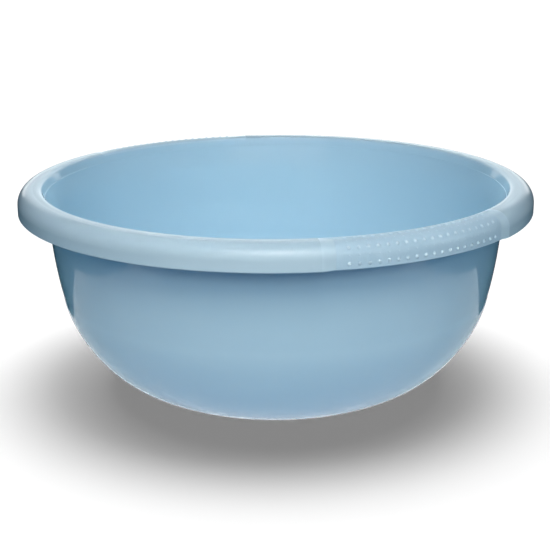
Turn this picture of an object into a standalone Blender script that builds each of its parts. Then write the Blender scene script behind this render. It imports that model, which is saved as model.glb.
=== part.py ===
"""Round wash basin, 36 cm across.

One thin moulded bowl with a foot ring and a wide turned-down rim, and two
soft grip pads let into opposite sides of the rim, where the hands take it.

Frame: metres, +Z up, origin on the ground at the centre of the foot ring.
The two grips are centred on +X and -X.

Profiles are written as (radius, depth), the depth being measured down from
the top of the rim, and are turned about the Z axis.
"""

import math

import bmesh
import bpy
from mathutils import Matrix, Vector

# ---------------------------------------------------------------- dimensions
HEIGHT = 0.1500            # foot ring to the top of the rim
RIM_R = 0.1800             # outside of the rim
LAND_R = 0.1672            # flat top of the rim starts outside the lip
ROLL_A = 0.0101            # rounding of the rim's shoulder, across
ROLL_B = 0.01035           # rounding of the rim's shoulder, down
SKIRT_DEPTH = 0.0169       # lower edge of the turned-down skirt
RIM_WALL = 0.0022          # thickness of the rim and skirt
WALL = 0.0020              # thickness of the bowl's wall and floor

# outside of the wall: a nearly straight upper part, a bell mouth at the rim,
# and a rounded corner that runs into the floor
UPPER_TOP_R, UPPER_TOP_D = 0.1591, 0.0250
UPPER_LOW_R, UPPER_LOW_D = 0.15207, 0.0760
UPPER_BOW = 0.00105
MOUTH_FLARE, MOUTH_LENGTH = 0.00977, 0.00688
FLOOR_R, FLOOR_D = 0.0618, 0.14865
CORNER_ACROSS, CORNER_DOWN = 2.40, 1.44     # exponents of the corner's curve

# inside of the mouth: a rounded lip, a flared mouth below it, a small ledge,
# and a curve from there into the straight wall
LIP = ((0.16589, 0.00007), (0.16471, 0.00034), (0.16373, 0.00096))
MOUTH_R, MOUTH_D = 0.1633, 0.0017
MOUTH_TILT = 0.30          # outwards for each unit up
LEDGE_R, LEDGE_D = 0.1610, 0.0070
LEDGE_TILT = 0.27
LEDGE_HALF = 0.00015
MOUTH_END_D = 0.0250

FOOT_OUT_R = 0.0805        # foot ring
FOOT_IN_R = 0.0770
FOOT_ROUND = 0.0006

# grips: the rim is set in over a length of its circumference, and a pad lies
# in a deeper seat in the middle of that length
GRIP_STEP = math.radians(2.5667)
PAD_STEPS = 16
RAMP_STEPS = 1             # one step at each end rises to the full rim
SET_IN_SIDE = 0.0011       # pad surface inside the rim's surface, at the side
SET_IN_TOP = 0.0006        # and at the top
SET_IN_EDGE = 0.0004       # lower edge of the grip above the skirt's edge
PAD_T = 0.0012             # pad thickness
GAP = 0.0003               # between the pad and its seat
PAD_INNER_R = 0.1675       # pad's edge beside the lip
BACKING = 0.0022           # rim wall behind the seat

# rows of nubs along each pad: on the skirt, on the shoulder and by the lip
NUB_COLUMNS = 19
NUB_PITCH = math.radians(2.013)
NUB_R = 0.00095
NUB_TOP_R = 0.00050
NUB_H = 0.0005
NUB_SUNK = 0.0005
SKIRT_ROW_DEPTH = 0.0131
SHOULDER_ROW = math.radians(48.2)
LIP_ROW_R = 0.1688
LIP_ROW_STRETCH = 2.25     # length of a rib to its width

RING_STEPS = 60

PLASTIC = (0.300, 0.510, 0.680)
SOFT = (0.350, 0.545, 0.690)


# ---------------------------------------------------------------- helpers
def lathe_object(name, profile, closed, steps, angle=2 * math.pi, start=0.0,
                 merge=True):
    """A profile of (radius, depth) points with a Screw modifier about Z."""
    mesh = bpy.data.meshes.new(name)
    verts = [(r, 0.0, HEIGHT - d) for r, d in profile]
    edges = [(i, i + 1) for i in range(len(profile) - 1)]
    if closed:
        edges.append((len(profile) - 1, 0))
    mesh.from_pydata(verts, edges, [])
    obj = bpy.data.objects.new(name, mesh)
    screw = obj.modifiers.new("Turn", "SCREW")
    screw.axis = "Z"
    screw.angle = angle
    screw.steps = steps
    screw.render_steps = steps
    screw.use_merge_vertices = merge
    screw.merge_threshold = 0.00002
    screw.use_smooth_shade = True
    screw.use_normal_calculate = False
    obj.rotation_euler = (0.0, 0.0, start)
    return obj


def arc_solid(name, profile, steps, angle, centre, collection, end_profile=None):
    """A closed profile turned through an arc and capped at both ends.

    end_profile, where given, takes the place of the profile at the first
    and the last section, so that the solid ramps out there.
    """
    turned = lathe_object(name + "_turn", profile, True, steps, angle,
                          0.0, merge=False)
    collection.objects.link(turned)
    bpy.context.view_layer.update()
    depsgraph = bpy.context.evaluated_depsgraph_get()
    mesh = bpy.data.meshes.new_from_object(turned.evaluated_get(depsgraph))
    bpy.data.objects.remove(turned)

    bm = bmesh.new()
    bm.from_mesh(mesh)
    bm.verts.ensure_lookup_table()
    if end_profile is not None:
        for vert in bm.verts:
            around = math.atan2(vert.co.y, vert.co.x)
            at_start = abs(around) < 1e-4
            at_end = abs(around - angle) < 1e-4
            if not (at_start or at_end):
                continue
            here = (math.hypot(vert.co.x, vert.co.y), HEIGHT - vert.co.z)
            index = min(range(len(profile)),
                        key=lambda i: (profile[i][0] - here[0]) ** 2
                        + (profile[i][1] - here[1]) ** 2)
            r, d = end_profile[index]
            vert.co = Vector((r * math.cos(around), r * math.sin(around),
                              HEIGHT - d))
    rim = [edge for edge in bm.edges if edge.is_boundary]
    bmesh.ops.holes_fill(bm, edges=rim, sides=0)
    bmesh.ops.recalc_face_normals(bm, faces=bm.faces[:])
    bm.to_mesh(mesh)
    bm.free()

    mesh.name = name
    obj = bpy.data.objects.new(name, mesh)
    obj.rotation_euler = (0.0, 0.0, centre - angle / 2)
    collection.objects.link(obj)
    return obj


def material(name, colour, roughness, coat):
    mat = bpy.data.materials.new(name)
    mat.use_nodes = True
    shader = mat.node_tree.nodes["Principled BSDF"]
    shader.inputs["Base Color"].default_value = (*colour, 1.0)
    shader.inputs["Roughness"].default_value = roughness
    shader.inputs["Metallic"].default_value = 0.0
    shader.inputs["Coat Weight"].default_value = coat
    return mat


def as_cutter(obj):
    obj.hide_render = True
    obj.display_type = "WIRE"


def boolean(obj, operation, other):
    mod = obj.modifiers.new(f"{operation.title()} {other.name}", "BOOLEAN")
    mod.operation = operation
    mod.solver = "EXACT"
    mod.object = other


# ---------------------------------------------------------------- profiles
def quarter(cx, cd, a, b, n, first=0.0, last=math.pi / 2):
    """Points on an elliptical shoulder, from its top round to its side."""
    return [(cx + a * math.sin(first + (last - first) * i / n),
             cd - b * math.cos(first + (last - first) * i / n))
            for i in range(n + 1)]


def rim_curve(side, top, lower, inner_r, n=6):
    """The rim's outside, set in by side and top, from inner_r over the
    shoulder and down to the depth lower."""
    cx, cd = RIM_R - ROLL_A, ROLL_B
    curve = [(inner_r, top)]
    curve += quarter(cx, cd, ROLL_A - side, ROLL_B - top, n)
    curve.append((RIM_R - side, lower))
    return curve


def upper_wall_r(d):
    """Outside radius of the wall at depth d, above the rounded corner."""
    s = (d - UPPER_TOP_D) / (UPPER_LOW_D - UPPER_TOP_D)
    bow = 4 * UPPER_BOW * s * (1 - s)
    flare = MOUTH_FLARE * math.exp(-d / MOUTH_LENGTH)
    return UPPER_TOP_R + (UPPER_LOW_R - UPPER_TOP_R) * s + bow + flare


def corner_point(t):
    """Outside of the rounded corner, t from 0 at the wall to 1 at the floor."""
    k = t * math.pi / 2
    r = FLOOR_R + (UPPER_LOW_R - FLOOR_R) * math.cos(k) ** (2 / CORNER_ACROSS)
    d = UPPER_LOW_D + (FLOOR_D - UPPER_LOW_D) * math.sin(k) ** (2 / CORNER_DOWN)
    return r, d


def wall_outside(depths, corner_n):
    points = [(upper_wall_r(d), d) for d in depths]
    points += [corner_point(i / corner_n) for i in range(1, corner_n)]
    points.append((FLOOR_R, FLOOR_D))
    return points


def set_in(points, distance):
    """The same curve moved towards the inside of the bowl."""
    moved = []
    for i, (r, d) in enumerate(points):
        r0, d0 = points[max(i - 1, 0)]
        r1, d1 = points[min(i + 1, len(points) - 1)]
        along = Vector((r1 - r0, d1 - d0)).normalized()
        moved.append((r - along.y * distance, d + along.x * distance))
    return moved


def mouth_inside(low, tilt):
    """The inside from the mouth's top down to low, a point of the wall."""
    top_r = MOUTH_R - MOUTH_TILT * (LEDGE_D - LEDGE_HALF - MOUTH_D)
    points = [(MOUTH_R, MOUTH_D), (top_r, LEDGE_D - LEDGE_HALF)]
    start_d = LEDGE_D + LEDGE_HALF
    run = low[1] - start_d
    for t in (0.0, 0.14, 0.32, 0.54, 0.77):
        # a cubic that keeps the tilt of the ledge's foot and of the wall
        r = ((2 * t ** 3 - 3 * t ** 2 + 1) * LEDGE_R
             - (t ** 3 - 2 * t ** 2 + t) * LEDGE_TILT * run
             + (3 * t ** 2 - 2 * t ** 3) * low[0]
             - (t ** 3 - t ** 2) * tilt * run)
        points.append((r, start_d + t * run))
    return points


def bowl_profile():
    depths = [0.0027, 0.0042, 0.0060, 0.0085, 0.0120, 0.0175, 0.0250, 0.0340,
              0.0460, 0.0620, UPPER_LOW_D]
    outside = wall_outside(depths, 11)
    wall = [point for point in set_in(outside, WALL)
            if point[1] > MOUTH_END_D - 0.001]
    tilt = (wall[0][0] - wall[1][0]) / (wall[1][1] - wall[0][1])
    inner = mouth_inside(wall[0], tilt) + wall
    floor_d = FLOOR_D - WALL
    inside = [(0.0, floor_d), (FLOOR_R - 0.004, floor_d)]
    inside += [point for point in reversed(inner)
               if point[0] > FLOOR_R - 0.002 or point[1] < UPPER_LOW_D]
    lip = list(reversed(LIP))

    skirt_in = RIM_R - RIM_WALL
    shoulder = rim_curve(0.0, 0.0, SKIRT_DEPTH - 0.0007, LAND_R)
    edge = [(RIM_R - 0.0006, SKIRT_DEPTH), (skirt_in + 0.0005, SKIRT_DEPTH)]
    under = [(skirt_in, SKIRT_DEPTH - 0.0006)]
    under += list(reversed(quarter(RIM_R - ROLL_A, ROLL_B,
                                   ROLL_A - RIM_WALL, ROLL_B - RIM_WALL, 5)))
    # outside of the wall, from under the rim down to the floor
    down = [point for point in outside if point[1] > 0.003]
    under.append((upper_wall_r(0.0030) + 0.0012, RIM_WALL + 0.0003))

    def outside_near(radius):
        """Depth of the corner's outside at a radius."""
        low, high = 0.0, 1.0
        for _ in range(60):
            mid = (low + high) / 2
            if corner_point(mid)[0] > radius:
                low = mid
            else:
                high = mid
        return corner_point(low)[1]

    foot = [(FOOT_OUT_R + 0.0012, outside_near(FOOT_OUT_R + 0.0012)),
            (FOOT_OUT_R, HEIGHT - FOOT_ROUND),
            (FOOT_OUT_R - FOOT_ROUND, HEIGHT),
            (FOOT_IN_R + FOOT_ROUND, HEIGHT),
            (FOOT_IN_R, HEIGHT - FOOT_ROUND),
            (FOOT_IN_R - 0.0008, FLOOR_D),
            (0.0, FLOOR_D)]
    down = [point for point in down if point[0] > FOOT_OUT_R + 0.003]
    return inside + lip + shoulder + edge + under + down + foot


def band(side_out, top_out, side_in, top_in, lower, inner_r, n=6):
    """A closed strip between two curves that follow the rim."""
    out = rim_curve(side_out, top_out, lower, inner_r, n)
    back = rim_curve(side_in, top_in, lower, inner_r, n)
    return out + list(reversed(back))


def cutter_profile(side, top, lower, n=6):
    """All that lies outside a curve set in from the rim."""
    curve = rim_curve(side, top, lower, PAD_INNER_R - GAP, n)
    far = RIM_R + 0.006
    return curve + [(RIM_R - 0.0095, lower), (RIM_R - 0.0095, lower + 0.006),
                    (far, lower + 0.006), (far, -0.004),
                    (PAD_INNER_R - GAP, -0.004)]


def pad_point(row):
    """A row's place on the pad's outside, and the way out of it there."""
    if row == "skirt":
        return (RIM_R - SET_IN_SIDE, SKIRT_ROW_DEPTH), (1.0, 0.0)
    if row == "lip":
        return (LIP_ROW_R, SET_IN_TOP), (0.0, -1.0)
    a, b = ROLL_A - SET_IN_SIDE, ROLL_B - SET_IN_TOP
    k = SHOULDER_ROW
    place = (RIM_R - ROLL_A + a * math.sin(k), ROLL_B - b * math.cos(k))
    out = Vector((math.sin(k) / a, -math.cos(k) / b)).normalized()
    return place, (out.x, out.y)


def nub_rows(name, centre, collection):
    """All the nubs of one pad, as small cones sunk into it.

    Those by the lip are short ribs, stretched along the rim.
    """
    bm = bmesh.new()
    length = NUB_H + NUB_SUNK
    for row in ("skirt", "shoulder", "lip"):
        (r, d), (out_r, out_d) = pad_point(row)
        rib = LIP_ROW_STRETCH if row == "lip" else 1.0
        for column in range(NUB_COLUMNS):
            around = centre + (column - (NUB_COLUMNS - 1) / 2) * NUB_PITCH
            radial = Vector((math.cos(around), math.sin(around), 0.0))
            along = Vector((-math.sin(around), math.cos(around), 0.0))
            out = radial * out_r + Vector((0.0, 0.0, -out_d))
            place = radial * r + Vector((0.0, 0.0, HEIGHT - d))
            middle = place + out * (length / 2 - NUB_SUNK)
            turn = Matrix((along, out.cross(along), out)).transposed().to_4x4()
            stretch = Matrix.Diagonal((rib, 1.0, 1.0, 1.0))
            bmesh.ops.create_cone(
                bm, cap_ends=True, cap_tris=False, segments=6,
                radius1=NUB_R, radius2=NUB_TOP_R, depth=length,
                matrix=Matrix.Translation(middle) @ turn @ stretch)
    mesh = bpy.data.meshes.new(name)
    bm.to_mesh(mesh)
    bm.free()
    obj = bpy.data.objects.new(name, mesh)
    collection.objects.link(obj)
    return obj


# ---------------------------------------------------------------- the model
for old in list(bpy.data.objects):
    bpy.data.objects.remove(old)

basin = bpy.data.collections.new("wash_basin")
cutters = bpy.data.collections.new("cutters")
bpy.context.scene.collection.children.link(basin)
bpy.context.scene.collection.children.link(cutters)

gloss = material("bowl_plastic", PLASTIC, 0.28, 0.3)
matt_right = material("grip_right_soft", SOFT, 0.55, 0.0)
matt_left = material("grip_left_soft", SOFT, 0.55, 0.0)

bowl = lathe_object("bowl_shell", bowl_profile(), False, RING_STEPS)
basin.objects.link(bowl)
bowl.data.materials.append(gloss)

pad_angle = PAD_STEPS * GRIP_STEP
seat_angle = pad_angle + 2 * GAP / RIM_R
set_angle = (PAD_STEPS + 2 * RAMP_STEPS) * GRIP_STEP
backing_angle = pad_angle + 2 * 0.0042 / RIM_R
seat_side = SET_IN_SIDE + PAD_T + GAP
seat_top = SET_IN_TOP + PAD_T + GAP
pad_lower = SKIRT_DEPTH - SET_IN_EDGE

backing_profile = (
    [(0.1660, 0.0016)]
    + quarter(RIM_R - ROLL_A, ROLL_B, ROLL_A - 0.0015, ROLL_B - 0.0015, 6)
    + [(RIM_R - 0.0015, pad_lower - 0.0008),
       (RIM_R - seat_side - BACKING, pad_lower - 0.0008)]
    + list(reversed(quarter(RIM_R - ROLL_A, ROLL_B,
                            ROLL_A - seat_side - BACKING,
                            ROLL_B - seat_top - BACKING, 6)))
    + [(0.1634, 0.0052)])

shallow_profile = cutter_profile(SET_IN_SIDE, SET_IN_TOP, pad_lower)
ramp_profile = cutter_profile(-0.0004, -0.0004, SKIRT_DEPTH + 0.0004)
seat_profile = cutter_profile(seat_side, seat_top, pad_lower - 0.0001)
pad_profile = band(SET_IN_SIDE, SET_IN_TOP, SET_IN_SIDE + PAD_T,
                   SET_IN_TOP + PAD_T, pad_lower, PAD_INNER_R)

for side, centre, soft in (("right", 0.0, matt_right),
                           ("left", math.pi, matt_left)):
    backing = arc_solid(f"backing_{side}", backing_profile, PAD_STEPS,
                        backing_angle, centre, cutters)
    shallow = arc_solid(f"set_in_{side}", shallow_profile,
                        PAD_STEPS + 2 * RAMP_STEPS, set_angle, centre,
                        cutters, ramp_profile)
    seat = arc_solid(f"seat_{side}", seat_profile, PAD_STEPS, seat_angle,
                     centre, cutters)
    for cutter in (backing, shallow, seat):
        as_cutter(cutter)
    boolean(bowl, "UNION", backing)
    boolean(bowl, "DIFFERENCE", shallow)
    boolean(bowl, "DIFFERENCE", seat)

    pad = arc_solid(f"grip_pad_{side}", pad_profile, PAD_STEPS, pad_angle,
                    centre, basin)
    pad.data.materials.append(soft)
    pad.data.shade_smooth()
    pad.data.set_sharp_from_angle(angle=math.radians(40))
    nubs = nub_rows(f"nubs_{side}", centre, cutters)
    as_cutter(nubs)
    boolean(pad, "UNION", nubs)
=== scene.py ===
"""A light blue plastic wash basin with matt nubbed grips, on a pale studio floor."""
import math

import bpy
import numpy as np
from mathutils import Matrix, Vector


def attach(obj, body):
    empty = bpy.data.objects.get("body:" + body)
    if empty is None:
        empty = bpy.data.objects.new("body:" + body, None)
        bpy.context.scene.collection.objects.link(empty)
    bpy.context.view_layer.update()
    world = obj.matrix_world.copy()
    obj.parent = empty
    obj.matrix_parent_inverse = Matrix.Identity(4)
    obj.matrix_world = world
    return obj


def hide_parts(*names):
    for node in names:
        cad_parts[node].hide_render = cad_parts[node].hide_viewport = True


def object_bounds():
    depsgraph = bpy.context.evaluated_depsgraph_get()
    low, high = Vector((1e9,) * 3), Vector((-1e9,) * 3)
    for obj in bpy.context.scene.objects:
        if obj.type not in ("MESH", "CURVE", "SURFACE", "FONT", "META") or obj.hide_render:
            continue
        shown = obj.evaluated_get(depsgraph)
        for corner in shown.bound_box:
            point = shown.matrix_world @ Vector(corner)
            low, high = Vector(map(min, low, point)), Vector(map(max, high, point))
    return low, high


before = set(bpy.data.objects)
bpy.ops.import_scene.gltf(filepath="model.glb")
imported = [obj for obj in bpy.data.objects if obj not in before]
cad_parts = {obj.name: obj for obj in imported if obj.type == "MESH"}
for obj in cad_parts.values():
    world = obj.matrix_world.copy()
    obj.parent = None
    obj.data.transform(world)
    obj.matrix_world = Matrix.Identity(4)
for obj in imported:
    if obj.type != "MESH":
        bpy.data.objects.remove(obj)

cad_low, cad_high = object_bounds()

# ------------------------------------------------------------------ dimensions
HEIGHT = cad_high.z                     # top of the rim above the floor
RIM_R = cad_high.y                      # outside of the rim
ROLL_A, ROLL_B = 0.0101, 0.01035
SKIRT_DEPTH = 0.0169
RIM_WALL = 0.0022
WALL = 0.0020
UPPER_TOP_R, UPPER_TOP_D = 0.1591, 0.0250
UPPER_LOW_R, UPPER_LOW_D = 0.15207, 0.0760
UPPER_BOW = 0.00105
MOUTH_FLARE, MOUTH_LENGTH = 0.00977, 0.00688
FLOOR_R, FLOOR_D = 0.0618, 0.14865
CORNER_ACROSS, CORNER_DOWN = 2.40, 1.44
FOOT_OUT_R, FOOT_IN_R = 0.0805, 0.0770

LIP_R, LIP_D = 0.1633, 0.0017           # where the lip's rounding meets the mouth
BEAD_R = 0.1671                         # crest of the lip's bead
CREASE_R = 0.1692                       # soft hollow between bead and shoulder
MOUTH_TILT = 0.355                      # flare of the mouth above the ledge
LEDGE_R, LEDGE_D, LEDGE_SLOPE = 0.1611, 0.0070, 0.27
MOUTH_END_D = 0.0250                    # below this the wall is straight
PAD_INNER_R = 0.1675
SET_IN_SIDE, SET_IN_TOP, SET_IN_EDGE = 0.0011, 0.0006, 0.0004
PAD_T, SEAT_GAP = 0.0012, 0.00028
PAD_HALF = math.radians(20.592)
RAMP_OUT, RAMP_IN = math.radians(23.4), math.radians(20.4)

CX = RIM_R - ROLL_A                     # centre of the shoulder's rounding


# ------------------------------------------------------------------ mesh tools
def grid_mesh(name, points, closed_u=False, closed_v=False):
    """A quad mesh from points[u, v, xyz]."""
    nu, nv = points.shape[:2]
    index = np.arange(nu * nv).reshape(nu, nv)
    us = np.arange(nu if closed_u else nu - 1)
    vs = np.arange(nv if closed_v else nv - 1)
    a = index[np.ix_(us, vs)]
    b = index[np.ix_((us + 1) % nu, vs)]
    c = index[np.ix_((us + 1) % nu, (vs + 1) % nv)]
    d = index[np.ix_(us, (vs + 1) % nv)]
    faces = np.stack([a, b, c, d], -1).reshape(-1, 4)
    return points.reshape(-1, 3), faces


def make_object(name, verts, quads, extra=()):
    """A smooth-shaded mesh object from quads and further polygons."""
    mesh = bpy.data.meshes.new(name)
    faces = [list(map(int, q)) for q in quads] + [list(map(int, p)) for p in extra]
    mesh.from_pydata([tuple(map(float, v)) for v in verts], [], faces)
    mesh.validate()
    mesh.shade_smooth()
    obj = bpy.data.objects.new(name, mesh)
    bpy.context.scene.collection.objects.link(obj)
    return obj


def smooth(x):
    x = np.clip(x, 0.0, 1.0)
    return x * x * (3 - 2 * x)


def arc(cx, cd, radius_r, radius_d, first, last, n):
    """Points on an ellipse; 0 is its top and 90 degrees its outer side."""
    t = np.linspace(first, last, n)
    return np.stack([cx + radius_r * np.sin(t), cd - radius_d * np.cos(t)], -1)


def line(p, q, n):
    t = np.linspace(0, 1, n)[:, None]
    return np.array(p) * (1 - t) + np.array(q) * t


def resample(points, step):
    """The same polyline with points about step apart."""
    seg = np.linalg.norm(np.diff(points, axis=0), axis=1)
    s = np.concatenate([[0], np.cumsum(seg)])
    n = max(2, int(round(s[-1] / step)) + 1)
    t = np.linspace(0, s[-1], n)
    return np.stack([np.interp(t, s, points[:, 0]), np.interp(t, s, points[:, 1])], -1)


# ------------------------------------------------------------------ profiles
def upper_wall_r(d):
    s = (d - UPPER_TOP_D) / (UPPER_LOW_D - UPPER_TOP_D)
    return (UPPER_TOP_R + (UPPER_LOW_R - UPPER_TOP_R) * s
            + 4 * UPPER_BOW * s * (1 - s)
            + MOUTH_FLARE * np.exp(-d / MOUTH_LENGTH))


def wall_curve():
    """Outside of the wall, from under the rim to the flat floor."""
    d = np.linspace(0.0022, UPPER_LOW_D, 500)
    upper = np.stack([upper_wall_r(d), d], -1)
    k = np.linspace(0, math.pi / 2, 700)[1:]
    corner = np.stack([
        FLOOR_R + (UPPER_LOW_R - FLOOR_R) * np.clip(np.cos(k), 0, 1) ** (2 / CORNER_ACROSS),
        UPPER_LOW_D + (FLOOR_D - UPPER_LOW_D) * np.sin(k) ** (2 / CORNER_DOWN)], -1)
    points = np.concatenate([upper, corner])
    # soften the join between the two laws
    seg = np.linalg.norm(np.diff(points, axis=0), axis=1)
    s = np.concatenate([[0], np.cumsum(seg)])
    t = np.linspace(0, s[-1], 1200)
    r = np.interp(t, s, points[:, 0])
    q = np.interp(t, s, points[:, 1])
    for _ in range(60):
        r[1:-1] = 0.25 * r[:-2] + 0.5 * r[1:-1] + 0.25 * r[2:]
        q[1:-1] = 0.25 * q[:-2] + 0.5 * q[1:-1] + 0.25 * q[2:]
    return np.stack([r, q], -1)


def offset_curve(points, distance):
    along = np.gradient(points, axis=0)
    along /= np.linalg.norm(along, axis=1, keepdims=True)
    return points + distance * np.stack([-along[:, 1], along[:, 0]], -1)


OUTSIDE = wall_curve()
INSIDE = offset_curve(OUTSIDE, WALL)


def inner_profile():
    """The inside, from the axis along the floor, up the wall to the lip."""
    wall = INSIDE[::-1].copy()
    coarse = wall[wall[:, 1] >= MOUTH_END_D]
    # below the ledge: a smooth run from the wall up to the ledge
    low = coarse[-1]
    slope = (coarse[-1, 0] - coarse[-4, 0]) / (coarse[-1, 1] - coarse[-4, 1])
    ledge_r, ledge_d = LEDGE_R, LEDGE_D + 0.00028
    run = low[1] - ledge_d
    u = np.linspace(0, 1, 80)
    cubic = ((2 * u ** 3 - 3 * u ** 2 + 1) * low[0] + (u ** 3 - 2 * u ** 2 + u) * -slope * run
             + (3 * u ** 2 - 2 * u ** 3) * ledge_r + (u ** 3 - u ** 2) * LEDGE_SLOPE * run)
    under_ledge = np.stack([cubic, low[1] - u * run], -1)
    # the ledge, and the flared mouth from it up to the lip
    top_r = LIP_R - MOUTH_TILT * (LEDGE_D - 0.00028 - LIP_D)
    step = np.array([(ledge_r + 0.00003, LEDGE_D + 0.00014),
                     (ledge_r + 0.00010, LEDGE_D + 0.00004),
                     (top_r - 0.00010, LEDGE_D - 0.00004),
                     (top_r - 0.00003, LEDGE_D - 0.00014)])
    flare = line((top_r, LEDGE_D - 0.00028), (LIP_R, LIP_D), 14)
    floor_d = FLOOR_D - WALL
    centre = np.concatenate([
        line((0.00001, floor_d - 0.0002), (0.0016, floor_d - 0.0002), 4),
        line((0.0019, floor_d + 0.00005), (0.0046, floor_d + 0.00005), 4),
        line((0.0050, floor_d - 0.00022), (0.0066, floor_d - 0.00022), 3),
        line((0.0071, floor_d), (coarse[0, 0] - 0.002, floor_d), 28)])
    above = np.concatenate([resample(under_ledge, 0.0006), step, flare])
    return np.concatenate([centre, resample(coarse, 0.0022), above[1:]])


def lip_profile():
    """The rounded bead at the lip, to its crest."""
    start = np.array([LIP_R, LIP_D])
    end = np.array([BEAD_R, 0.0])
    mid = np.array([LIP_R + MOUTH_TILT * LIP_D, 0.0])
    t = np.linspace(0, 1, 11)[1:, None]
    return (1 - t) ** 2 * start + 2 * t * (1 - t) * mid + t ** 2 * end


def top_profile(side, top, lower, inner):
    """The rim's outside from the bead's crest to the skirt's lower edge.

    inner holds the radii of the land between bead and shoulder."""
    land_r = inner
    crease = 0.00003 * np.exp(-((land_r - CREASE_R) / 0.0008) ** 2)
    slope = 0.00006 * smooth((land_r - BEAD_R) / (CREASE_R - BEAD_R))
    land = np.stack([land_r, top + crease * (1 - top / SET_IN_TOP if top else 1) + slope], -1)
    t = np.linspace(0, math.pi / 2, 40)[1:]
    shoulder = np.stack([CX + (ROLL_A - side) * np.sin(t),
                         ROLL_B - (ROLL_B - top - 0.00006) * np.cos(t)], -1)
    skirt = line((RIM_R - side, ROLL_B), (RIM_R - side, lower), 13)[1:]
    return np.concatenate([land, shoulder, skirt])


def build_bowl():
    inner = inner_profile()
    lip = lip_profile()
    edge_round = 0.0007
    land_r = np.concatenate([np.linspace(BEAD_R + 0.0001, 0.16740, 3),
                             np.linspace(0.16743, 0.16748, 4),
                             np.linspace(0.1677, CX, 14)])

    # the rim's outside, plain, set in, and as the seat under the pad
    base = top_profile(0.0, 0.0, SKIRT_DEPTH - edge_round, land_r)
    base = np.concatenate([base, arc(RIM_R - edge_round, SKIRT_DEPTH - edge_round,
                                     edge_round, edge_round, math.pi / 2, math.pi, 7)[1:]])
    low = SKIRT_DEPTH - SET_IN_EDGE
    shallow = top_profile(SET_IN_SIDE, SET_IN_TOP, low - edge_round, land_r)
    shallow = np.concatenate([shallow, arc(RIM_R - SET_IN_SIDE - edge_round, low - edge_round,
                                           edge_round, edge_round, math.pi / 2, math.pi, 7)[1:]])
    seat_side, seat_top = SET_IN_SIDE + PAD_T, SET_IN_TOP + PAD_T
    seat = top_profile(seat_side, seat_top, low - 0.0005, land_r)
    seat = np.concatenate([seat, arc(RIM_R - seat_side - 0.0003, low - 0.0005,
                                     0.0003, 0.0003, math.pi / 2, math.pi, 7)[1:]])
    in_land = np.clip((base[:, 0] - 0.16743) / 0.00004, 0, 1)[:, None]
    in_land[len(land_r):] = 1.0
    shallow_in = np.clip((base[:, 0] - 0.16713) / 0.00032, 0, 1)[:, None]
    shallow_in[len(land_r):] = 1.0
    shallow = base + (shallow - base) * shallow_in
    seat = np.where(in_land > 0, base + (seat - base) * in_land, shallow)

    # under the rim: across the skirt's edge, up inside it, round to the wall
    def under(side, top, lower, corner):
        r_in = RIM_R - side
        flat = line((r_in + corner, lower), (r_in + corner * 0.8, lower), 2)
        turn = arc(r_in + corner, lower - corner, -corner, corner, math.pi, math.pi / 2, 6)
        rise = line((r_in, lower - corner), (r_in, ROLL_B), 7)[1:]
        roof = arc(CX, ROLL_B, ROLL_A - side, ROLL_B - top, math.pi / 2, 0.0, 16)[1:]
        # fillet between the roof and the wall
        wall_r = float(np.interp(top + 0.0022, OUTSIDE[:, 1], OUTSIDE[:, 0]))
        a = np.array(roof[-1])
        c = np.array([wall_r, top + 0.0022])
        b = np.array([wall_r + 0.0006, top])
        t = np.linspace(0, 1, 10)[1:, None]
        fillet = (1 - t) ** 2 * a + 2 * t * (1 - t) * b + t ** 2 * c
        return np.concatenate([flat, turn, rise, roof, fillet])

    plain_under = under(RIM_WALL, RIM_WALL, SKIRT_DEPTH, 0.0006)
    backed_under = under(seat_side + 0.0022, seat_top + 0.0022, low - 0.0002, 0.0006)

    # outside of the wall below the fillet, then the foot and the underside
    below = OUTSIDE[OUTSIDE[:, 1] > 0.0066]
    bell = OUTSIDE[(OUTSIDE[:, 1] > 0.0046) & (OUTSIDE[:, 1] <= 0.0066)]
    below = below[below[:, 0] > FOOT_OUT_R + 0.0016]
    wall = np.concatenate([resample(bell, 0.0007)[1:], resample(below, 0.0022)])
    d_foot = below[-1, 1]
    foot_d = HEIGHT
    foot = np.concatenate([
        [(FOOT_OUT_R + 0.0006, d_foot + 0.0006)],
        [(FOOT_OUT_R + 0.0001, d_foot + 0.0012)],
        arc(FOOT_OUT_R - 0.0006, foot_d - 0.0006, 0.0006, 0.0006, math.pi / 2, math.pi, 6),
        arc(FOOT_IN_R + 0.0006, foot_d - 0.0006, -0.0006, 0.0006, math.pi, math.pi / 2, 6),
        [(FOOT_IN_R - 0.0002, FLOOR_D + 0.0003)],
        [(FOOT_IN_R - 0.0007, FLOOR_D)],
        line((FOOT_IN_R - 0.0014, FLOOR_D), (0.0062, FLOOR_D), 20),
        line((0.0058, FLOOR_D - 0.0003), (0.0022, FLOOR_D - 0.0003), 4),
        line((0.0020, FLOOR_D + 0.0004), (0.00001, FLOOR_D + 0.0004), 3)])

    # angles: even all round, finer over the ramps and the seats' ends
    half = np.concatenate([
        np.linspace(0, math.radians(19.8), 34),
        np.linspace(math.radians(20.0), math.radians(20.58), 6),
        [math.radians(20.600), math.radians(20.612)],
        np.linspace(math.radians(20.66), math.radians(24.2), 34),
        np.linspace(math.radians(24.2), math.radians(90), 112)[1:]])
    quarter = np.concatenate([half, math.pi - half[-2::-1]])
    phi = np.concatenate([quarter[:-1], math.pi + quarter[:-1]])

    from_grip = np.abs((phi + math.pi / 2) % math.pi - math.pi / 2)
    ramp = smooth((RAMP_OUT - from_grip) / (RAMP_OUT - RAMP_IN))
    seated = (from_grip < math.radians(20.606)).astype(float)
    backed = smooth((math.radians(22.9) - from_grip) / math.radians(1.9))

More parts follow.
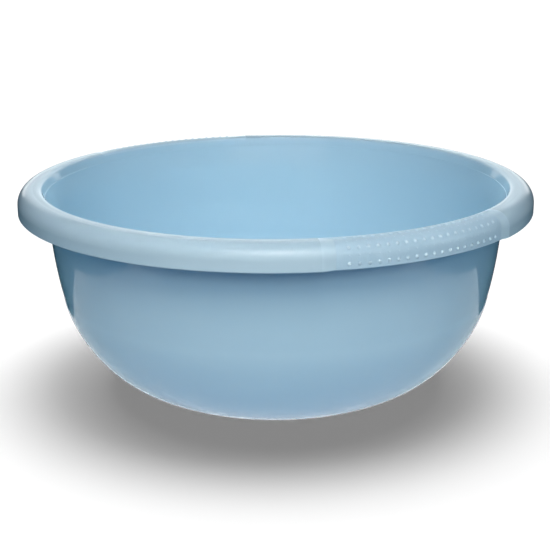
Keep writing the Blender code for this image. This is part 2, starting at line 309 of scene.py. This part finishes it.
    rows = []
    for w, q, k in zip(ramp, seated, backed):
        rim = base + (shallow - base) * w
        if q:
            rim = seat
        und = plain_under + (backed_under - plain_under) * k
        rows.append(np.concatenate([inner, lip, rim, und, wall, foot]))
    profile = np.array(rows)
    r, d = profile[..., 0], profile[..., 1]
    points = np.stack([r * np.cos(phi)[:, None], r * np.sin(phi)[:, None], HEIGHT - d], -1)

    verts, quads = grid_mesh("bowl", points, closed_u=True)
    nu, nv = points.shape[:2]
    # caps at the axis
    first = [u * nv for u in range(nu)]
    last = [u * nv + nv - 1 for u in range(nu)]
    obj = make_object("bowl_shell_fine", verts, quads, [first[::-1], last])
    return obj


# ------------------------------------------------------------------ grip pads
NUB_PITCH = math.radians(2.013)
ROWS = [                                # place, radius, height, length of a rib
    ("skirt", 0.0131, 0.00130, 0.00080, 0.0),
    ("skirt", 0.0079, 0.00070, 0.00028, 0.0),
    ("shoulder", math.radians(48.2), 0.00132, 0.00084, 0.0),
    ("shoulder", math.radians(20.0), 0.00072, 0.00032, 0.0),
    ("land", 0.16848, 0.00098, 0.00092, 0.0010)]


def pad_surface():
    """The pad's outside as (radius, depth) against length along it."""
    land = line((PAD_INNER_R, SET_IN_TOP), (CX, SET_IN_TOP), 30)
    shoulder = arc(CX, ROLL_B, ROLL_A - SET_IN_SIDE, ROLL_B - SET_IN_TOP, 0, math.pi / 2, 300)[1:]
    skirt = line((RIM_R - SET_IN_SIDE, ROLL_B),
                 (RIM_R - SET_IN_SIDE, SKIRT_DEPTH - SET_IN_EDGE), 60)[1:]
    points = np.concatenate([land, shoulder, skirt])
    s = np.concatenate([[0], np.cumsum(np.linalg.norm(np.diff(points, axis=0), axis=1))])
    return points, s


def build_pad(name, centre, step=0.00021):
    curve, s = pad_surface()
    length = s[-1]
    rounding = 0.00030
    across = np.linspace(0, length, int(length / step) + 1)
    half_len = PAD_HALF
    around = np.linspace(-half_len, half_len, int(2 * half_len * RIM_R / step) + 1)
    r = np.interp(across, s, curve[:, 0])
    d = np.interp(across, s, curve[:, 1])
    tr, td = np.gradient(r, across), np.gradient(d, across)
    norm = np.hypot(tr, td)
    nr, nd = td / norm, -tr / norm      # out of the pad

    height = np.zeros((len(around), len(across)))
    tip = np.zeros_like(height)
    for kind, value, radius, rise, rib in ROWS:
        if kind == "skirt":
            s0 = s[-1] - (SKIRT_DEPTH - SET_IN_EDGE - value)
            if value < ROLL_B:
                a, b = ROLL_A - SET_IN_SIDE, ROLL_B - SET_IN_TOP
                k = math.acos((ROLL_B - value) / b)
                s0 = float(np.interp(CX + a * math.sin(k), curve[:, 0], s))
        elif kind == "shoulder":
            a = ROLL_A - SET_IN_SIDE
            s0 = float(np.interp(CX + a * math.sin(value), curve[:330, 0], s[:330]))
        else:
            s0 = float(np.interp(value, curve[:330, 0], s[:330]))
        r0 = float(np.interp(s0, s, curve[:, 0]))
        for column in range(19):
            a0 = (column - 9) * NUB_PITCH
            i0 = np.searchsorted(around, a0 - (rib / 2 + 1.6 * radius) / r0)
            i1 = np.searchsorted(around, a0 + (rib / 2 + 1.6 * radius) / r0)
            j0 = np.searchsorted(across, s0 - 1.6 * radius)
            j1 = np.searchsorted(across, s0 + 1.6 * radius)
            x = (around[i0:i1] - a0)[:, None] * r0
            x = np.clip(np.abs(x) - rib / 2, 0, None)
            y = (across[j0:j1] - s0)[None, :]
            q = np.sqrt(x * x + y * y) / radius
            dome = rise * np.sqrt(np.clip(1 - q * q, 0, 1)) * 0.55 + rise * 0.45 * (1 - smooth(q))
            height[i0:i1, j0:j1] = np.maximum(height[i0:i1, j0:j1], dome)
            tip[i0:i1, j0:j1] = np.maximum(tip[i0:i1, j0:j1],
                                           smooth((1 - q) / 0.6) * min(1.0, rise / 0.0006))

    # the pad's edges: rounded at the skirt, close and crisp against the bowl
    def edge_fall(distance, radius):
        e = np.clip(distance / radius, 0, 1)
        return radius * (1 - np.sqrt(np.clip(1 - (1 - e) ** 2, 0, 1)))

    ends = np.minimum(around - around[0], around[-1] - around) * RIM_R
    height -= np.maximum(
        np.maximum(edge_fall(length - across, rounding), edge_fall(across, 0.00006))[None, :],
        edge_fall(ends, 0.00006)[:, None])

    def place(h):
        rr = r[None, :] + nr[None, :] * h
        dd = d[None, :] + nd[None, :] * h
        a = (centre + around)[:, None]
        return np.stack([rr * np.cos(a), rr * np.sin(a), HEIGHT - dd], -1)

    outer = place(height)
    nu, nv = outer.shape[:2]
    verts, quads = grid_mesh(name, outer)
    # back of the pad, as a plain copy of its grid set back, joined to its border by sides
    back = place(np.full_like(height, -PAD_T + 0.0001))
    back_verts, back_quads = grid_mesh(name, back)
    offset = len(verts)
    quads = np.concatenate([quads, back_quads[:, ::-1] + offset])
    index = np.arange(nu * nv).reshape(nu, nv)
    loop = np.concatenate([index[:, 0], index[-1, 1:], index[-2::-1, -1], index[0, -2:0:-1]])
    nxt = np.roll(loop, -1)
    sides = np.stack([nxt, loop, loop + offset, nxt + offset], -1)
    quads = np.concatenate([quads, sides])
    verts = np.concatenate([verts, back_verts])
    obj = make_object(name, verts, quads)
    # how far up a nub each point is, for the painted highlight and the smoother finish of the
    # tips
    mark = obj.data.attributes.new("nub", "FLOAT", "POINT")
    mark.data.foreach_set("value", np.concatenate(
        [tip.reshape(-1), np.zeros(nu * nv)]).astype(np.float32))
    return obj


# ------------------------------------------------------------------ materials
# paler colour of the rim: a painted sheen
RIM_PAINTED_SHEEN_COLOUR = (0.425, 0.610, 0.730)
RIM_MATTER = 0.10


def nodes_of(name):
    mat = bpy.data.materials.new(name)
    mat.use_nodes = True
    tree = mat.node_tree
    shader = tree.nodes["Principled BSDF"]
    return mat, tree, shader


def noise(tree, scale, detail, rough, vector):
    node = tree.nodes.new("ShaderNodeTexNoise")
    node.inputs["Scale"].default_value = scale
    node.inputs["Detail"].default_value = detail
    node.inputs["Roughness"].default_value = rough
    tree.links.new(vector, node.inputs["Vector"])
    return node


def ramp_node(tree, source, stops):
    node = tree.nodes.new("ShaderNodeValToRGB")
    while len(node.color_ramp.elements) < len(stops):
        node.color_ramp.elements.new(0.5)
    for element, (place, colour) in zip(node.color_ramp.elements, stops):
        element.position = place
        element.color = (*colour, 1.0) if len(colour) == 3 else colour
    tree.links.new(source, node.inputs["Fac"])
    return node


def bump(tree, height, strength, distance, normal=None):
    node = tree.nodes.new("ShaderNodeBump")
    node.inputs["Strength"].default_value = strength
    node.inputs["Distance"].default_value = distance
    tree.links.new(height, node.inputs["Height"])
    if normal is not None:
        tree.links.new(normal, node.inputs["Normal"])
    return node


def bowl_material():
    mat, tree, shader = nodes_of("gloss_polypropylene")
    coords = tree.nodes.new("ShaderNodeTexCoord").outputs["Object"]
    # faint clouding of the pigment
    cloud = noise(tree, 9.0, 3.0, 0.5, coords)
    tint = ramp_node(tree, cloud.outputs["Fac"],
                     [(0.30, (0.365, 0.580, 0.726)), (0.70, (0.375, 0.590, 0.734))])
    # the rolled rim is painted paler, a painted sheen standing in for its whiter highlights, and
    # its tool was matter
    flat = tree.nodes.new("ShaderNodeVectorMath")
    flat.operation = "MULTIPLY"
    flat.inputs[1].default_value = (1.0, 1.0, 0.0)
    tree.links.new(coords, flat.inputs[0])
    radius = tree.nodes.new("ShaderNodeVectorMath")
    radius.operation = "LENGTH"
    tree.links.new(flat.outputs["Vector"], radius.inputs[0])
    on_rim = tree.nodes.new("ShaderNodeMapRange")
    on_rim.interpolation_type = "SMOOTHSTEP"
    on_rim.inputs["From Min"].default_value = 0.1624
    on_rim.inputs["From Max"].default_value = 0.1638
    tree.links.new(radius.outputs["Value"], on_rim.inputs["Value"])
    # painted sheen: the rim's paler colour
    rim_painted_sheen = tree.nodes.new("ShaderNodeMix")
    rim_painted_sheen.data_type = "RGBA"
    rim_painted_sheen.inputs[7].default_value = (*RIM_PAINTED_SHEEN_COLOUR, 1.0)
    tree.links.new(on_rim.outputs["Result"], rim_painted_sheen.inputs[0])
    tree.links.new(tint.outputs["Color"], rim_painted_sheen.inputs[6])
    tree.links.new(rim_painted_sheen.outputs[2], shader.inputs["Base Color"])
    # handling marks show only as small changes of gloss
    smear = noise(tree, 22.0, 5.0, 0.6, coords)
    gloss = tree.nodes.new("ShaderNodeMapRange")
    gloss.inputs["From Min"].default_value = 0.35
    gloss.inputs["From Max"].default_value = 0.75
    gloss.inputs["To Min"].default_value = 0.055
    gloss.inputs["To Max"].default_value = 0.080
    tree.links.new(smear.outputs["Fac"], gloss.inputs["Value"])
    matter = tree.nodes.new("ShaderNodeMath")
    matter.operation = "MULTIPLY_ADD"
    matter.inputs[1].default_value = RIM_MATTER
    tree.links.new(on_rim.outputs["Result"], matter.inputs[0])
    tree.links.new(gloss.outputs["Result"], matter.inputs[2])
    # the ramps beside the grips are as matt as the grips
    split = tree.nodes.new("ShaderNodeSeparateXYZ")
    tree.links.new(coords, split.inputs[0])
    sides = []
    for axis in (0, 1):
        size = tree.nodes.new("ShaderNodeMath")
        size.operation = "ABSOLUTE"
        tree.links.new(split.outputs[axis], size.inputs[0])
        sides.append(size.outputs["Value"])
    beyond = tree.nodes.new("ShaderNodeMath")
    beyond.operation = "MULTIPLY_ADD"
    beyond.inputs[1].default_value = -math.tan(math.radians(23.1))
    tree.links.new(sides[0], beyond.inputs[0])
    tree.links.new(sides[1], beyond.inputs[2])
    at_grip = tree.nodes.new("ShaderNodeMapRange")
    at_grip.interpolation_type = "SMOOTHSTEP"
    at_grip.inputs["From Min"].default_value = 0.0028
    at_grip.inputs["From Max"].default_value = -0.0014
    tree.links.new(beyond.outputs["Value"], at_grip.inputs["Value"])
    matt_zone = tree.nodes.new("ShaderNodeMath")
    matt_zone.operation = "MULTIPLY"
    tree.links.new(at_grip.outputs["Result"], matt_zone.inputs[0])
    tree.links.new(on_rim.outputs["Result"], matt_zone.inputs[1])
    finish = tree.nodes.new("ShaderNodeMix")
    finish.data_type = "FLOAT"
    finish.inputs[3].default_value = 0.42
    tree.links.new(matt_zone.outputs["Value"], finish.inputs[0])
    tree.links.new(matter.outputs["Value"], finish.inputs[2])
    tree.links.new(finish.outputs[0], shader.inputs["Roughness"])
    # moulded surface: long soft waves and a fine skin
    waves = noise(tree, 14.0, 2.0, 0.5, coords)
    skin = noise(tree, 420.0, 2.0, 0.5, coords)
    first = bump(tree, waves.outputs["Fac"], 0.03, 0.002)
    second = bump(tree, skin.outputs["Fac"], 0.02, 0.0002, first.outputs["Normal"])
    tree.links.new(second.outputs["Normal"], shader.inputs["Normal"])
    shader.inputs["IOR"].default_value = 1.49
    return mat


def grip_material():
    mat, tree, shader = nodes_of("soft_touch_grip")
    coords = tree.nodes.new("ShaderNodeTexCoord").outputs["Object"]
    cloud = noise(tree, 60.0, 3.0, 0.55, coords)
    tint = ramp_node(tree, cloud.outputs["Fac"],
                     [(0.30, (0.382, 0.576, 0.716)), (0.70, (0.408, 0.600, 0.736))])
    # the tips of the nubs are painted paler, a painted highlight, and are a little smoother
    mark = tree.nodes.new("ShaderNodeAttribute")
    mark.attribute_name = "nub"
    # painted highlight on the nub tips
    tip_painted_highlight = tree.nodes.new("ShaderNodeMix")
    tip_painted_highlight.data_type = "RGBA"
    tip_painted_highlight.inputs[7].default_value = (0.530, 0.710, 0.830, 1.0)
    tree.links.new(mark.outputs["Fac"], tip_painted_highlight.inputs[0])
    tree.links.new(tint.outputs["Color"], tip_painted_highlight.inputs[6])
    tree.links.new(tip_painted_highlight.outputs[2], shader.inputs["Base Color"])
    grain = noise(tree, 1500.0, 3.0, 0.6, coords)
    pits = tree.nodes.new("ShaderNodeTexVoronoi")
    pits.inputs["Scale"].default_value = 1100.0
    tree.links.new(coords, pits.inputs["Vector"])
    rough = tree.nodes.new("ShaderNodeMapRange")
    rough.inputs["To Min"].default_value = 0.34
    rough.inputs["To Max"].default_value = 0.48
    tree.links.new(grain.outputs["Fac"], rough.inputs["Value"])
    smoother_tips = tree.nodes.new("ShaderNodeMath")
    smoother_tips.operation = "MULTIPLY_ADD"
    smoother_tips.inputs[1].default_value = -0.03
    tree.links.new(mark.outputs["Fac"], smoother_tips.inputs[0])
    tree.links.new(rough.outputs["Result"], smoother_tips.inputs[2])
    tree.links.new(smoother_tips.outputs["Value"], shader.inputs["Roughness"])
    first = bump(tree, grain.outputs["Fac"], 0.55, 0.00025)
    second = bump(tree, pits.outputs["Distance"], 0.35, 0.0002, first.outputs["Normal"])
    tree.links.new(second.outputs["Normal"], shader.inputs["Normal"])
    shader.inputs["IOR"].default_value = 1.48
    return mat


# ------------------------------------------------------------------ the pieces
gloss_plastic = bowl_material()
soft_grip = grip_material()

bowl = build_bowl()
bowl.data.materials.append(gloss_plastic)
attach(bowl, "root")
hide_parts("bowl_shell")

pads = []
for side, centre in (("right", 0.0), ("left", math.pi)):
    pad = build_pad(f"grip_{side}_fine", centre)
    pads.append(pad)
    pad.data.materials.append(soft_grip)
    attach(pad, "root")
    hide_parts(f"grip_pad_{side}")

# ------------------------------------------------------------------ the camera
GRIP_TURN = math.radians(58.11)         # the right grip stands this far round
ELEVATION = math.radians(12.29)
DISTANCE = 0.90
FOCAL = 1268.2 / 550 * 36.0
ROLL = math.radians(-0.292)
AIM_X, AIM_Y = -0.00075, -0.07625

turn = Matrix.Rotation(GRIP_TURN, 3, "Z")
eye = Vector((0.0, -DISTANCE * math.cos(ELEVATION), DISTANCE * math.sin(ELEVATION)))
forward = -eye.normalized()
right = Vector((1.0, 0.0, 0.0))
up = right.cross(forward)
aim = (forward + AIM_X * right + AIM_Y * up).normalized()
r2 = aim.cross(Vector((0.0, 0.0, 1.0))).normalized()
u2 = r2.cross(aim)
r3 = math.cos(ROLL) * r2 + math.sin(ROLL) * u2
u3 = -math.sin(ROLL) * r2 + math.cos(ROLL) * u2
lens = bpy.data.cameras.new("camera")
lens.sensor_width = 36.0
lens.lens = FOCAL
lens.clip_start, lens.clip_end = 0.01, 50.0
camera = bpy.data.objects.new("camera", lens)
bpy.context.scene.collection.objects.link(camera)
rotation = (turn @ Matrix((r3, u3, -aim)).transposed()).to_4x4()
camera.matrix_world = Matrix.Translation(turn @ eye + Vector((0, 0, HEIGHT))) @ rotation
bpy.context.scene.camera = camera


def seen(x, y, z):
    """A place given as right of, away from and above the foot, as the camera sees it."""
    return turn @ Vector((x, y, z))


# ------------------------------------------------------------------ the studio
def plane(name, size, location, rotation=None):
    mesh = bpy.data.meshes.new(name)
    h = size / 2
    mesh.from_pydata([(-h, -h, 0), (h, -h, 0), (h, h, 0), (-h, h, 0)], [], [(0, 1, 2, 3)])
    obj = bpy.data.objects.new(name, mesh)
    bpy.context.scene.collection.objects.link(obj)
    obj.location = location
    return obj


floor = plane("studio_floor", 12.0, (0, 0, 0))
floor_mat, floor_tree, floor_shader = nodes_of("pale_floor")
floor_shader.inputs["Base Color"].default_value = (0.93, 0.93, 0.93, 1.0)
floor_shader.inputs["Roughness"].default_value = 0.9
floor_shader.inputs["Specular IOR Level"].default_value = 0.1
floor.data.materials.append(floor_mat)


# a dark table top that only shows in the reflections
dark = plane("dark_surround", 12.0, (0, 0, 0.001))
dark_mat, dark_tree, dark_shader = nodes_of("dark_surround")
dark_shader.inputs["Base Color"].default_value = (0.004, 0.004, 0.004, 1.0)
dark_shader.inputs["Roughness"].default_value = 1.0
dark_shader.inputs["Specular IOR Level"].default_value = 0.0
dark.data.materials.append(dark_mat)
dark.visible_camera = False
dark.visible_shadow = False
dark.visible_transmission = False
dark.visible_volume_scatter = False

# a card close behind the rim keeps the back lamp off the outside of the wall
card_mesh = bpy.data.meshes.new("back_card")
card_mesh.from_pydata([seen(x, 0.205, z) for x, z in
                       ((-0.23, 0.002), (0.23, 0.002), (0.23, 0.156), (-0.23, 0.156))],
                      [], [(0, 1, 2, 3)])
card = bpy.data.objects.new("back_card", card_mesh)
bpy.context.scene.collection.objects.link(card)
card.visible_camera = False
card.visible_diffuse = False
card.visible_glossy = False
card.visible_transmission = False
card.visible_volume_scatter = False

# the basin and the floor are lit apart, as in a cut-out product picture
on_basin = bpy.data.collections.new("lit_basin")
behind_card = bpy.data.collections.new("shaded_by_card")
for obj in (bowl, *pads):
    on_basin.objects.link(obj)
    behind_card.objects.link(obj)
behind_card.objects.link(card)
on_floor = bpy.data.collections.new("lit_floor")
on_floor.objects.link(floor)


def softbox(name, place, target, width, height, power):
    """A soft rectangular lamp; its width lies along the camera's left and right."""
    light = bpy.data.lights.new(name, "AREA")
    light.shape = "RECTANGLE"
    light.size, light.size_y = width, height
    light.energy = power
    obj = bpy.data.objects.new(name, light)
    bpy.context.scene.collection.objects.link(obj)
    back = (Vector(place) - Vector(target)).normalized()
    side = seen(1.0, 0.0, 0.0)
    side = (side - side.dot(back) * back).normalized()
    # no two lamps share a plane, because the second would then be missed
    place = Vector(place) - back * 0.00005 * len(bpy.data.lights)
    obj.matrix_world = Matrix.Translation(place) @ Matrix(
        (side, back.cross(side), back)).transposed().to_4x4()
    obj.visible_camera = False
    return obj


def basin_lamp(name, place, target, width, height, power, kind, colour=(1.0, 1.0, 1.0)):
    """A softbox on the basin alone, as plain light, as a highlight or as both.

    The card shades a carded one."""
    obj = softbox(name, seen(*place), seen(*target), width, height, power)
    obj.data.color = colour
    obj.visible_diffuse = "plain" in kind
    obj.visible_glossy = "shine" in kind
    obj.light_linking.receiver_collection = on_basin
    obj.light_linking.blocker_collection = behind_card if "carded" in kind else on_basin
    return obj


def sun(name, strength, spread, lean_right, lean_back, shadow):
    """An even light from overhead on the floor alone."""
    light = bpy.data.lights.new(name, "SUN")
    light.energy = strength
    light.angle = math.radians(spread)
    light.use_shadow = shadow
    obj = bpy.data.objects.new(name, light)
    bpy.context.scene.collection.objects.link(obj)
    back = seen(math.sin(math.radians(lean_right)), math.sin(math.radians(lean_back)), 1.0)
    obj.rotation_euler = back.normalized().to_track_quat("Z", "Y").to_euler()
    obj.light_linking.receiver_collection = on_floor
    obj.light_linking.blocker_collection = on_basin
    return obj


def lying(x0, x1, y0, y1):
    """The place, target and size of a lamp that lies on the table, facing up."""
    x, y = (x0 + x1) / 2, (y0 + y1) / 2
    return (x, y, 0.0025), (x, y, 1.0), x1 - x0, y1 - y0


def behind(low, high, width=1.6):
    """The place, target and size of a strip straight behind, between two elevations."""
    middle = math.radians((low + high) / 2)
    height = 2.6 * math.tan(math.radians((high - low) / 2))
    return ((0.0, 1.3 * math.cos(middle), 0.14 + 1.3 * math.sin(middle)),
            (0.0, 0.0, 0.14), width, height)


WARM = (1.0, 0.85, 0.72)
AMBER = (1.0, 0.60, 0.05)
SKY = (0.0, 0.50, 1.0)                  # cool light thrown up from the table
LOW = (0, -1.4, 0.35), (0, 0, 0.12)
FRONT = (0, -1.4, 0.8), (0, 0, 0.12)
BACK = (0, 1.3, 0.5), (0, 0, 0.12)
basin_lamp("key", (0, -1.2, 1.25), (0, -1.2, 0), 0.6, 0.78, 22.7, "plain", WARM)
basin_lamp("key_wide", (0, -1.2, 1.25), (0, -1.2, 0), 1.6, 0.78, 1.5, "plain")
basin_lamp("key_near_shine", (0, -0.94, 1.25), (0, -0.94, 0), 1.6, 0.26, 3.25, "shine")
basin_lamp("key_middle_shine", (0, -1.2, 1.25), (0, -1.2, 0), 1.6, 0.26, 0.25, "shine")
basin_lamp("key_far_shine", (0, -1.46, 1.25), (0, -1.46, 0), 1.6, 0.26, 4.1, "shine")
basin_lamp("key_core_shine", (0, -1.2, 1.25), (0, -1.2, 0), 0.7, 0.5, 3.1, "shine")
basin_lamp("front", *FRONT, 1.6, 0.4, 8.5, "plain")
basin_lamp("front_shine", *FRONT, 1.6, 0.4, 2.0, "shine")
basin_lamp("front_low_shine", *LOW, 1.6, 0.4, 1.8, "shine")
basin_lamp("front_right", (1.0, -1.0, 0.5), (0, 0, 0.1), 0.6, 0.5, 1.1, "plain")
basin_lamp("back", *BACK, 0.5, 0.4, 27.7, "plain carded")
basin_lamp("back_high", (0, 1.0, 1.1), (0, 0, 0.1), 1.2, 0.6, 4.3, "plain carded", AMBER)
basin_lamp("back_fill", (0, 1.3, 0.08), (0, 0, 0.08), 0.5, 0.12, 10.0, "plain")
basin_lamp("behind_low_shine", *behind(1, 10, 1.6), 1.4, "shine")
basin_lamp("behind_middle_shine", *behind(10, 20), 0.75, "shine")
basin_lamp("behind_high_shine", *behind(20, 32), 1.04, "shine")
basin_lamp("top", (0, 0, 1.2), (0, 0, 0), 1.2, 1.2, 3.0, "plain", (0.0, 0.40, 1.0))
basin_lamp("table_cool", *lying(-1.2, 1.2, -1.2, 1.2), 4.3, "plain", SKY)
basin_lamp("table_far_shine", *lying(-0.6, 0.6, -1.2, -0.5), 2.5, "shine")
basin_lamp("table_front_shine", *lying(-0.36, 0.36, -0.40, -0.26), 0.20, "shine")
basin_lamp("table_middle_shine", *lying(-0.36, 0.36, -0.26, -0.09), 0.32, "shine")
basin_lamp("table_near_shine", *lying(-0.36, 0.36, -0.09, 0.068), 0.23, "shine")
basin_lamp("table_behind_shine", *lying(-0.21, 0.21, 0.068, 1.0), 0.85, "shine")
basin_lamp("table_middle", *lying(-0.36, 0.36, -0.26, -0.09), 0.20, "plain")
basin_lamp("table_near", *lying(-0.36, 0.36, -0.09, 0.068), 0.30, "plain", (0.7, 1.0, 0.93))
sun("floor_light", 2.68, 60.0, -0.6, 8.0, True)
sun("floor_core", 0.95, 30.0, 3.0, 0.0, True)
sun("floor_side", 0.32, 60.0, 4.0, 0.0, True)
sun("floor_fill", 0.83, 20.0, 0.0, 0.0, False)

# white beyond the floor's edge, without lighting anything
world = bpy.data.worlds.new("studio")
bpy.context.scene.world = world
world.use_nodes = True
world.node_tree.nodes["Background"].inputs["Color"].default_value = (1.0, 1.0, 1.0, 1.0)
world.node_tree.nodes["Background"].inputs["Strength"].default_value = 1.0
world.cycles_visibility.diffuse = False
world.cycles_visibility.glossy = False
world.cycles_visibility.transmission = False
world.cycles_visibility.scatter = False

bpy.context.scene.view_settings.view_transform = "Standard"
bpy.context.scene.view_settings.look = "None"
bpy.context.scene.view_settings.exposure = 0.0
bpy.context.scene.view_settings.gamma = 1.0
